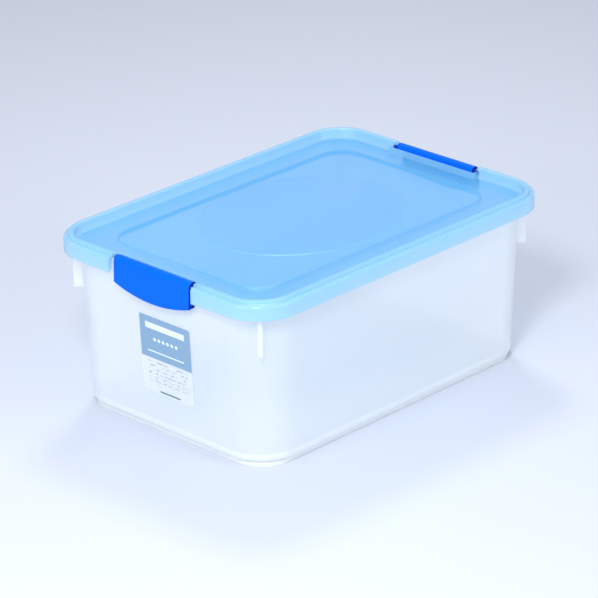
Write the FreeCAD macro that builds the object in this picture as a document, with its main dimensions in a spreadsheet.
import FreeCAD, Part
import math
import os

import Sketcher
from FreeCAD import Placement, Rotation, Vector

# A clear plastic storage box with a lift-off lid and a snap latch at each short end.
# +Z is up, +X runs along the box, and the origin is under its middle, on the floor.
# The latch at the -X end is the front one, and the label is stuck below it.

DIMENSIONS = {
    # lid, outside
    "lid_length": 425.0,
    "lid_width": 300.0,
    "lid_corner": 45.0,
    "lid_low": 165.0,
    "shoulder_top": 181.0,
    "lid_top": 184.0,
    "lid_wall": 2.0,
    # lid, from its edge inwards
    "crest_inset": 4.5,
    "recess_inset": 11.2,
    "groove_start": 6.3,
    "groove_end": 8.8,
    "channel_top": 179.0,
    "recess_floor": 173.0,
    "platform_inset": 44.0,
    "platform_corner": 27.0,
    "platform_top": 177.0,
    "oval_length": 228.0,
    "oval_width": 192.0,
    "oval_top": 178.0,
    # notch in the lid for each latch
    "notch_half": 57.0,
    "notch_depth": 17.0,
    "notch_wall_top": 180.0,
    "notch_cheek": 2.5,
    "cheek_low": 169.0,
    # tub
    "foot_inset": 21.3,
    "foot_corner": 34.0,
    "foot_height": 5.0,
    "foot_wall": 2.2,
    "base_round": 5.0,
    "wall_inset": 9.8,
    "wall_corner": 51.0,
    "wall_draft": 2.54,
    "tub_wall": 2.0,
    "floor_wall": 2.2,
    "shelf_low": 166.0,
    "rim_inset": 5.4,
    "rim_wall": 2.0,
    "rim_top": 179.0,
    "fin_tip_inset": 19.2,
    "fin_length": 9.79,
    "fin_wall": 4.5,
    "fin_low": 124.0,
    "catch_half": 46.0,
    "catch_low": 160.0,
    # latch
    "pin_inset": 10.8,
    "pin_height": 178.6,
    "pin_radius": 1.93,
    "socket_radius": 2.0,
    "barrel_radius": 2.4,
    "latch_half": 53.0,
    "latch_wall": 1.6,
    "crest_x": 8.6,
    "shoulder_height": 178.1,
    "shoulder_radius": 5.4,
    "roof_height": 179.1,
    "lip_inset": 1.9,
    "lip_low": 147.3,
    "lip_radius": 160.6,
    "hook_low": 156.7,
    "hook_top": 159.0,
    "hook_inset": 9.5,
    # label
    "label_width": 70.0,
    "label_height": 83.0,
    "label_corner": 2.0,
    "label_wall": 0.25,
    "label_middle": 86.5,
    "label_offset": -6.5,
}

document = FreeCAD.newDocument("latching_box")
sheet = document.addObject("Spreadsheet::Sheet", "dims")
for row, (name, size) in enumerate(DIMENSIONS.items(), start=1):
    sheet.set(f"A{row}", name)
    sheet.set(f"B{row}", str(size))
    sheet.setAlias(f"B{row}", name)
document.recompute()


def number(formula):
    """The value that a formula over the sheet's names has now."""
    result = sheet.evalExpression(formula)
    return float(getattr(result, "Value", result))


def new_body(name):
    """One piece of the box, named as its file will be."""
    body = document.addObject("PartDesign::Body", name)
    body.Label = name
    document.recompute()
    return body


def attach(feature, body, role, height="0"):
    """Lay a sketch or primitive on one of the body's own planes, moved along its normal."""
    plane = next(item for item in body.Origin.OriginFeatures if item.Role == role)
    feature.AttachmentSupport = [(plane, "")]
    feature.MapMode = "FlatFace"
    feature.setExpression("AttachmentOffset.Base.z", height)


def new_sketch(body, name, role="XY_Plane", height="0"):
    sketch = body.newObject("Sketcher::SketchObject", name)
    attach(sketch, body, role, height)
    return sketch


def bind(sketch, name, formula, kind, *where):
    """Add a dimension that follows a formula."""
    index = sketch.addConstraint(Sketcher.Constraint(kind, *where, number(formula)))
    sketch.renameConstraint(index, name)
    sketch.setExpression(f"Constraints.{name}", formula)


def rounded_rectangle(sketch, length, width, corner, tag="outline"):
    """A centred rectangle with round corners, from three formulas."""
    half_x = number(length) / 2
    half_y = number(width) / 2
    radius = number(corner)
    in_x = half_x - radius
    in_y = half_y - radius
    first = sketch.GeometryCount
    ends = [
        (Vector(-in_x, -half_y), Vector(in_x, -half_y)),
        (Vector(half_x, -in_y), Vector(half_x, in_y)),
        (Vector(in_x, half_y), Vector(-in_x, half_y)),
        (Vector(-half_x, in_y), Vector(-half_x, -in_y)),
    ]
    for start, end in ends:
        sketch.addGeometry(Part.LineSegment(start, end), False)
    centres = [(in_x, -in_y), (in_x, in_y), (-in_x, in_y), (-in_x, -in_y)]
    for quarter, (x, y) in enumerate(centres):
        circle = Part.Circle(Vector(x, y, 0), Vector(0, 0, 1), radius)
        start_angle = math.radians(90 * quarter - 90)
        sketch.addGeometry(Part.ArcOfCircle(circle, start_angle, start_angle + math.pi / 2), False)
    for side in range(4):
        line = first + side
        arc = first + 4 + side
        next_line = first + (side + 1) % 4
        sketch.addConstraint(Sketcher.Constraint("Tangent", line, 2, arc, 1))
        sketch.addConstraint(Sketcher.Constraint("Tangent", arc, 2, next_line, 1))
    for side in (0, 2):
        sketch.addConstraint(Sketcher.Constraint("Horizontal", first + side))
        sketch.addConstraint(Sketcher.Constraint("Vertical", first + side + 1))
    for arc in (5, 6, 7):
        sketch.addConstraint(Sketcher.Constraint("Equal", first + 4, first + arc))
    sketch.addConstraint(Sketcher.Constraint("Symmetric", first, 1, first + 2, 1, -1, 1))
    bind(sketch, f"{tag}_length", length, "DistanceX", first + 3, 1, first + 1, 1)
    bind(sketch, f"{tag}_width", width, "DistanceY", first, 1, first + 2, 1)
    bind(sketch, f"{tag}_corner", corner, "Radius", first + 4)


def outline(sketch, inset, corner, tag="outline"):
    """The lid's outline moved inwards by one formula, with corners by another."""
    length = f"dims.lid_length - 2 * ({inset})"
    width = f"dims.lid_width - 2 * ({inset})"
    rounded_rectangle(sketch, length, width, corner, tag)


def level(body, name, inset, corner, height):
    """A sketch of the inset outline at a height."""
    sketch = new_sketch(body, name, height=height)
    outline(sketch, inset, corner)
    return sketch


def pad(body, name, sketch, length, symmetric=False):
    feature = body.newObject("PartDesign::Pad", name)
    feature.Profile = sketch
    feature.setExpression("Length", length)
    feature.Midplane = symmetric
    document.recompute()
    return feature


def pocket_up(body, name, sketch, depth):
    """Cut upwards from a sketch, and stop if nothing was removed."""
    before = body.Shape.Volume
    feature = body.newObject("PartDesign::Pocket", name)
    feature.Profile = sketch
    feature.setExpression("Length", depth)
    feature.Reversed = True
    document.recompute()
    assert body.Shape.Volume < before - 1.0, name
    return feature


def lean_walls(body, name, height, inwards, low, high):
    """Draft the upright faces that stand between two insets, pivoting on a level face."""
    base = body.Tip
    pivot = ""
    walls = []
    for index, face in enumerate(base.Shape.Faces, start=1):
        middle = face.CenterOfMass
        edge = face.Edges[0].valueAt(face.Edges[0].FirstParameter)
        box = face.BoundBox
        if box.ZMax - box.ZMin < 0.01 and abs(middle.z - height) < 0.01:
            pivot = f"Face{index}"
        elif box.ZMax - box.ZMin > 50 and low < depth_inside(edge) < high:
            walls.append(f"Face{index}")
    feature = body.newObject("PartDesign::Draft", name)
    feature.Base = (base, walls)
    feature.NeutralPlane = (base, [pivot])
    feature.Reversed = inwards
    feature.setExpression("Angle", "dims.wall_draft")
    document.recompute()
    assert pivot and len(walls) == 8 and feature.Shape.isValid(), (name, pivot, walls)
    return feature


def block(body, name, low, high, cut=False, turn=0.0):
    """A box between two corners, each given as three formulas, and turned about Z."""
    kind = "SubtractiveBox" if cut else "AdditiveBox"
    feature = body.newObject(f"PartDesign::{kind}", name)
    attach(feature, body, "XY_Plane", low[2])
    for prop, start, end in zip(("Length", "Width", "Height"), low, high):
        feature.setExpression(prop, f"({end}) - ({start})")
    feature.setExpression("AttachmentOffset.Base.x", low[0])
    feature.setExpression("AttachmentOffset.Base.y", low[1])
    feature.AttachmentOffset = Placement(feature.AttachmentOffset.Base, Rotation(Vector(0, 0, 1), turn))
    document.recompute()
    return feature


def rod(body, name, x, height, radius, half, cut=False):
    """A round bar, or a hole, along Y and centred on the XZ plane."""
    kind = "SubtractiveCylinder" if cut else "AdditiveCylinder"
    feature = body.newObject(f"PartDesign::{kind}", name)
    attach(feature, body, "XZ_Plane", f"-({half})")
    feature.setExpression("AttachmentOffset.Base.x", x)
    feature.setExpression("AttachmentOffset.Base.y", height)
    feature.setExpression("Radius", radius)
    feature.setExpression("Height", f"2 * ({half})")
    document.recompute()
    return feature


def depth_inside(point):
    """How far a point is inside the lid's outline, in plan."""
    corner = number("dims.lid_corner")
    past_x = abs(point.x) - (number("dims.lid_length") / 2 - corner)
    past_y = abs(point.y) - (number("dims.lid_width") / 2 - corner)
    outside = math.hypot(max(past_x, 0), max(past_y, 0))
    return corner - outside - min(max(past_x, past_y), 0)


def round_edges(body, name, height, low, high, radius):
    """Round the level edges at one height whose distance inside the outline is in a range."""
    base = body.Tip
    picked = []
    for index, edge in enumerate(base.Shape.Edges, start=1):
        box = edge.BoundBox
        middle = edge.valueAt((edge.FirstParameter + edge.LastParameter) / 2)
        flat = abs(box.ZMin - height) < 0.01 and abs(box.ZMax - height) < 0.01
        if flat and low <= depth_inside(middle) <= high:
            picked.append(f"Edge{index}")
    feature = body.newObject("PartDesign::Fillet", name)
    feature.Base = (base, picked)
    feature.Radius = radius
    document.recompute()
    assert picked and feature.Shape.isValid(), name
    return feature


def front_x(inset):
    """Where an inset from the lid's edge is at the front end, as a formula."""
    return f"-dims.lid_length / 2 + ({inset})"


def at_both_ends(body, name, inset_low, inset_high, half, low, high, cut=False):
    """A block across each short end of the box, reaching the same distance in."""
    for end in ("front", "rear"):
        x_low = front_x(inset_low)
        x_high = front_x(inset_high)
        if end == "rear":
            x_low = f"-({front_x(inset_high)})"
            x_high = f"-({front_x(inset_low)})"
        block(body, f"{name}_{end}", (x_low, f"-({half})", low), (x_high, half, high), cut)


def ring(body, name, insets, corner, low, height):
    """A level band that follows the box between two insets."""
    outside, inside = insets
    sketch = level(body, f"{name}_outline", outside, corner, low)
    outline(sketch, inside, f"{corner} - ({inside}) + ({outside})", "inner")
    return pad(body, name, sketch, height)


def make_tub():
    """A drafted tub with a stepped rim, corner fins, a foot ring and a catch at each end."""
    body = new_body("tub")
    shelf = level(body, "tub_plan", "dims.wall_inset", "dims.wall_corner", "dims.foot_height")
    pad(body, "tub_block", shelf, "dims.shelf_low - dims.foot_height")
    lean_walls(body, "tub_draft", number("dims.shelf_low"), True, 9, 20)
    round_edges(body, "tub_base_round", number("dims.foot_height"), 10, 30, number("dims.base_round"))
    hollow_tub(body)
    for x_sign in (-1, 1):
        for y_sign in (-1, 1):
            make_fin(body, x_sign, y_sign)
    shelf_end = "dims.wall_inset + dims.tub_wall"
    rim_end = "dims.rim_inset + dims.rim_wall"
    rim_corner = "dims.lid_corner - dims.rim_inset"
    ring(body, "tub_shelf", ("dims.rim_inset", shelf_end), rim_corner, "dims.shelf_low", "dims.rim_wall")
    ring(
        body, "tub_rim", ("dims.rim_inset", rim_end), rim_corner, "dims.shelf_low",
        "dims.rim_top - dims.shelf_low",
    )
    at_both_ends(
        body, "catch", "dims.rim_inset", "dims.rim_inset + 6", "dims.catch_half", "dims.catch_low",
        "dims.shelf_low + 1",
    )
    foot = ("dims.foot_inset", "dims.foot_inset + dims.foot_wall")
    ring(body, "tub_foot_ring", foot, "dims.foot_corner", "0", "dims.foot_height + 0.3")
    return body


def hollow_tub(body):
    """Cut the inside as a straight pocket, then lean its walls out to match the outside."""
    before = body.Shape.Volume
    floor_top = "dims.foot_height + dims.floor_wall"
    fall = f"(dims.shelf_low - ({floor_top})) * tan(dims.wall_draft * 1deg)"
    inset = f"dims.wall_inset + dims.tub_wall + {fall}"
    corner = f"dims.wall_corner - dims.tub_wall - {fall}"
    plan = level(body, "tub_inside_plan", inset, corner, floor_top)
    pocket_up(body, "tub_inside", plan, f"dims.shelf_low - ({floor_top}) + 1")
    lean_walls(body, "tub_inside_draft", number(floor_top), False, 18, 40)
    assert body.Shape.Volume < before / 20, "the inside was not hollowed"
    round_edges(body, "tub_floor_round", number(floor_top), 10, 40, number("dims.base_round - 1"))


def make_fin(body, x_sign, y_sign):
    """A thin upright rib that stands out diagonally under the rim at one corner."""
    turn = math.degrees(math.atan2(y_sign, x_sign))
    tip_x = f"{x_sign} * (dims.lid_length / 2 - dims.fin_tip_inset)"
    tip_y = f"{y_sign} * (dims.lid_width / 2 - dims.fin_tip_inset)"
    back = "dims.fin_length * sqrt(2) / 2"
    side = "dims.fin_wall * sqrt(2) / 4"
    x = f"{tip_x} - {x_sign} * {back} + {y_sign} * {side}"
    y = f"{tip_y} - {y_sign} * {back} - {x_sign} * {side}"
    low = (x, y, "dims.fin_low")
    high = (f"({x}) + dims.fin_length", f"({y}) + dims.fin_wall", "dims.shelf_low + 1")
    corner = ("rear" if x_sign > 0 else "front") + ("_left" if y_sign > 0 else "_right")
    block(body, f"fin_{corner}", low, high, turn=turn)


def make_lid():
    """A shallow lid: skirt, raised crest, recess with a platform, and a notch for each latch."""
    body = new_body("lid")
    skirt = level(body, "lid_skirt", "0", "dims.lid_corner", "dims.lid_low")
    pad(body, "lid_block", skirt, "dims.shoulder_top - dims.lid_low")
    crest = level(
        body, "lid_crest", "dims.crest_inset", "dims.lid_corner - dims.crest_inset", "dims.shoulder_top"
    )
    pad(body, "lid_crest_block", crest, "dims.lid_top - dims.shoulder_top")
    recess = level(
        body, "recess", "dims.recess_inset", "dims.lid_corner - dims.recess_inset", "dims.recess_floor"
    )
    pocket_up(body, "lid_recess", recess, "dims.lid_top - dims.recess_floor")
    platform = level(body, "platform", "dims.platform_inset", "dims.platform_corner", "dims.recess_floor")
    pad(body, "lid_platform", platform, "dims.platform_top - dims.recess_floor")
    pad(body, "lid_oval", oval(body), "dims.oval_top - dims.platform_top")
    hollow_underneath(body)
    round_edges(body, "shoulder_round", number("dims.shoulder_top"), -1, 1, 4.0)
    round_edges(body, "crest_round", number("dims.lid_top"), 3, 6, 1.6)
    round_edges(body, "crest_inner_round", number("dims.lid_top"), 9, 12, 2.0)
    round_edges(body, "recess_round", number("dims.recess_floor"), 11, 14, 4.0)
    round_edges(body, "platform_foot_round", number("dims.recess_floor"), 38, 48, 2.0)
    round_edges(body, "platform_round", number("dims.platform_top"), 40, 50, 1.5)
    cut_notches(body)
    return body


def oval(body):
    """The wide, very shallow raised oval in the middle of the lid."""
    sketch = new_sketch(body, "oval", height="dims.platform_top")
    ellipse = Part.Ellipse(Vector(0, 0, 0), number("dims.oval_length") / 2, number("dims.oval_width") / 2)
    sketch.addGeometry(ellipse, False)
    sketch.exposeInternalGeometry(0)
    sketch.addConstraint(Sketcher.Constraint("Coincident", 0, 3, -1, 1))
    sketch.addConstraint(Sketcher.Constraint("Horizontal", 1))
    bind(sketch, "oval_length", "dims.oval_length", "Distance", 1)
    bind(sketch, "oval_width", "dims.oval_width", "Distance", 2)
    return sketch


def hollow_underneath(body):
    """Leave one wall thickness all over: under the recess, in the rim and under the platform."""
    inside = level(body, "under_lid", "dims.lid_wall", "dims.lid_corner - dims.lid_wall", "dims.lid_low")
    pocket_up(body, "lid_underside", inside, "dims.recess_floor - dims.lid_wall - dims.lid_low")
    ceiling = "dims.recess_floor - dims.lid_wall"
    channel = level(body, "rim_channel", "dims.lid_wall", "dims.lid_corner - dims.lid_wall", ceiling)
    outline(channel, "dims.groove_end", "dims.lid_corner - dims.groove_end", "inner")
    pocket_up(body, "lid_channel", channel, f"dims.channel_top - ({ceiling})")
    groove = level(
        body, "crest_groove", "dims.groove_start", "dims.lid_corner - dims.groove_start", "dims.channel_top"
    )
    outline(groove, "dims.groove_end", "dims.lid_corner - dims.groove_end", "inner")
    pocket_up(body, "lid_groove", groove, "dims.lid_top - dims.lid_wall - dims.channel_top")
    below = level(body, "under_platform", "dims.platform_inset + 0.5", "dims.platform_corner - 1", ceiling)
    pocket_up(body, "platform_underside", below, "dims.platform_top - dims.recess_floor")


def cut_notches(body):
    """Take the rim away where a latch goes, and close the gap with a floor, a wall and cheeks."""
    notch = "dims.notch_half"
    cheek = "dims.notch_half + dims.notch_cheek"
    wall_back = "dims.notch_depth + dims.lid_wall"
    floor_low = "dims.recess_floor - dims.lid_wall"
    above, below = "dims.lid_top + 1", "dims.lid_low - 1"
    slot_half, slot_low, slot_top = f"{cheek} + 0.1", "dims.cheek_low - 1", "dims.rim_top + 0.2"
    crest_back, crest_low = "dims.groove_end + 1", "dims.notch_wall_top - 1"
    add = at_both_ends
    add(body, "notch_cheek", "1.2", wall_back, cheek, "dims.cheek_low", "dims.notch_wall_top")
    add(body, "crest_cheek", "5.5", crest_back, cheek, crest_low, "dims.lid_top - 1")
    add(body, "rim_slot", "4.4", "8.2", slot_half, slot_low, slot_top, cut=True)
    add(body, "notch_space", "-1", "dims.notch_depth", notch, "dims.recess_floor", above, cut=True)
    add(body, "notch_mouth", "-1", "dims.groove_end", notch, below, "dims.recess_floor + 1", cut=True)
    under = f"{wall_back} + 1"
    add(body, "notch_under", "dims.groove_end", under, notch, below, floor_low, cut=True)
    for end, sign in (("front", 1), ("rear", -1)):
        x = f"{sign} * ({front_x('dims.pin_inset')})"
        rod(body, f"socket_{end}", x, "dims.pin_height", "dims.socket_radius", cheek + " + 0.1", cut=True)


def latch_profile(body, name):
    """The latch's bent section: a face that leans out, a round shoulder and a short roof."""
    sketch = new_sketch(body, name, "XZ_Plane")
    crest_x = number(front_x("dims.crest_x"))
    shoulder = number("dims.shoulder_height")
    roof = number("dims.roof_height")
    big = number("dims.shoulder_radius")
    wall = number("dims.latch_wall")
    small = big - (roof - shoulder)
    up = Vector(0, 0, 1)
    low_x = number(front_x("dims.lip_inset"))
    low = number("dims.lip_low")

    def arc(z, radius, start, end):
        circle = Part.Circle(Vector(crest_x, z, 0), up, radius)
        return Part.ArcOfCircle(circle, math.radians(start), math.radians(end))

    def line(*ends):
        return Part.LineSegment(*[Vector(x, z, 0) for x, z in ends])

    pieces = [
        line((low_x, low), (crest_x - big, shoulder)),
        arc(shoulder, big, 90, 180),
        arc(roof, small, 0, 90),
        line((crest_x + small, roof), (crest_x + small - wall, roof)),
        arc(roof, small - wall, 0, 90),
        arc(shoulder, big - wall, 90, 180),
        line((crest_x - big + wall, shoulder), (low_x + wall, low)),
        line((low_x + wall, low), (low_x, low)),
    ]
    for piece in pieces:
        sketch.addGeometry(piece, False)
    joined = [(0, 2, 1, 2), (1, 1, 2, 2), (2, 1, 3, 1), (3, 2, 4, 1), (4, 2, 5, 1), (5, 2, 6, 1)]
    joined += [(6, 2, 7, 1), (7, 2, 0, 1), (1, 3, 5, 3), (2, 3, 4, 3)]
    for where in joined:
        sketch.addConstraint(Sketcher.Constraint("Coincident", *where))
    for kind, where in (
        ("Vertical", (1, 1, 1, 3)), ("Vertical", (5, 1, 5, 3)), ("Vertical", (2, 3, 1, 3)),
        ("Horizontal", (1, 2, 1, 3)), ("Horizontal", (5, 2, 5, 3)),
        ("Horizontal", (2, 1, 2, 3)), ("Horizontal", (4, 1, 4, 3)), ("Horizontal", (7,)),
    ):
        sketch.addConstraint(Sketcher.Constraint(kind, *where))
    bind(sketch, "shoulder_radius", "dims.shoulder_radius", "Radius", 1)
    bind(sketch, "inner_radius", "dims.shoulder_radius - dims.latch_wall", "Radius", 5)
    bind(sketch, "crest_x", "dims.lid_length / 2 - dims.crest_x", "DistanceX", 1, 3, -1, 1)
    bind(sketch, "shoulder_height", "dims.shoulder_height", "DistanceY", -1, 1, 1, 3)
    bind(sketch, "roof_height", "dims.roof_height", "DistanceY", -1, 1, 2, 3)
    bind(sketch, "lip_x", "dims.lid_length / 2 - dims.lip_inset", "DistanceX", 0, 1, -1, 1)
    bind(sketch, "lip_low", "dims.lip_low", "DistanceY", -1, 1, 0, 1)
    bind(sketch, "lip_wall", "dims.latch_wall", "DistanceX", 7, 2, 7, 1)
    return sketch


def make_latch(name):
    """A snap latch: a bent face with a hinge barrel, end pins and a hook across its inside."""
    body = new_body(name)
    profile = latch_profile(body, f"{name}_profile")
    pad(body, f"{name}_shell", profile, "2 * dims.latch_half", symmetric=True)
    x = front_x("dims.pin_inset")
    rod(body, f"{name}_barrel", x, "dims.pin_height", "dims.barrel_radius", "dims.latch_half")
    pin_half = "dims.notch_half + dims.notch_cheek - 0.4"
    rod(body, f"{name}_pins", x, "dims.pin_height", "dims.pin_radius", pin_half)
    low = (front_x("3.0"), "-dims.latch_half", "dims.hook_low")
    high = (front_x("dims.hook_inset"), "dims.latch_half", "dims.hook_top")
    block(body, f"{name}_hook", low, high)
    trim_lip(body, f"{name}_lip")
    return body


def trim_lip(body, name):
    """Cut the face's lower edge to a shallow arc, lowest in the middle."""
    sketch = new_sketch(body, name, "YZ_Plane")
    radius = number("dims.lip_radius")
    low = number("dims.lip_low")
    reach = number("dims.latch_half") + 2
    swing = math.asin(reach / radius)
    centre = low + radius
    rise = centre - radius * math.cos(swing)
    floor = low - 5
    circle = Part.Circle(Vector(0, centre, 0), Vector(0, 0, 1), radius)
    sketch.addGeometry(Part.ArcOfCircle(circle, 1.5 * math.pi - swing, 1.5 * math.pi + swing), False)
    corners = [(reach, rise), (reach, floor), (-reach, floor), (-reach, rise)]
    for start, end in zip(corners, corners[1:]):
        sketch.addGeometry(Part.LineSegment(Vector(*start, 0), Vector(*end, 0)), False)
    for where in ((0, 2, 1, 1), (1, 2, 2, 1), (2, 2, 3, 1), (3, 2, 0, 1)):
        sketch.addConstraint(Sketcher.Constraint("Coincident", *where))
    for line in (1, 3):
        sketch.addConstraint(Sketcher.Constraint("Vertical", line))
    sketch.addConstraint(Sketcher.Constraint("PointOnObject", 0, 3, -2))
    sketch.addConstraint(Sketcher.Constraint("Symmetric", 1, 2, 2, 2, -2))
    bind(sketch, "lip_radius", "dims.lip_radius", "Radius", 0)
    bind(sketch, "lip_centre", "dims.lip_low + dims.lip_radius", "DistanceY", -1, 1, 0, 3)
    bind(sketch, "lip_reach", "2 * dims.latch_half + 4", "DistanceX", 2, 2, 2, 1)
    bind(sketch, "lip_floor", "dims.lip_low - 5", "DistanceY", -1, 1, 1, 2)
    before = body.Shape.Volume
    feature = body.newObject("PartDesign::Pocket", f"{name}_cut")
    feature.Profile = sketch
    feature.setExpression("Length", "2 * dims.lid_length")
    feature.Midplane = True
    document.recompute()
    assert body.Shape.Volume < before - 1.0, name
    return feature


def make_label():
    """A thin rounded sticker that lies flat on the front wall, below the latch."""
    body = new_body("label")
    sketch = new_sketch(body, "label_outline", "YZ_Plane")
    rounded_rectangle(sketch, "dims.label_width", "dims.label_height", "dims.label_corner")
    sticker = pad(body, "label_film", sketch, "dims.label_wall")
    sticker.Reversed = True
    lean = math.radians(number("dims.wall_draft"))
    inset = number("dims.wall_inset") + number("dims.shelf_low - dims.label_middle") * math.tan(lean)
    front = inset - number("dims.lid_length / 2")
    place = Vector(front, number("dims.label_offset"), number("dims.label_middle"))
    body.Placement = Placement(place, Rotation(Vector(0, 1, 0), -math.degrees(lean)))
    document.recompute()
    return body


tub = make_tub()
lid = make_lid()
latch_front = make_latch("latch_front")
latch_rear = make_latch("latch_rear")
latch_rear.Placement = Placement(Vector(0, 0, 0), Rotation(Vector(0, 0, 1), 180))
label = make_label()
document.recompute()

for item in document.Objects:
    assert "Invalid" not in item.State and "Error" not in item.State, (item.Name, item.State)
pieces = [tub, lid, latch_front, latch_rear, label]
for piece in pieces:
    assert not piece.Shape.isNull() and piece.Shape.isValid(), piece.Label
    assert len(piece.Shape.Solids) == 1, (piece.Label, len(piece.Shape.Solids))

os.makedirs("parts", exist_ok=True)
for piece in pieces:
    piece.Shape.exportStep(f"parts/{piece.Label}.step")
    box = piece.Shape.BoundBox
    print(
        f"{piece.Label}: {piece.Shape.Volume / 1000:.1f} cm3,"
        f" x {box.XMin:.1f} to {box.XMax:.1f}, y {box.YMin:.1f} to {box.YMax:.1f},"
        f" z {box.ZMin:.1f} to {box.ZMax:.1f}"
    )
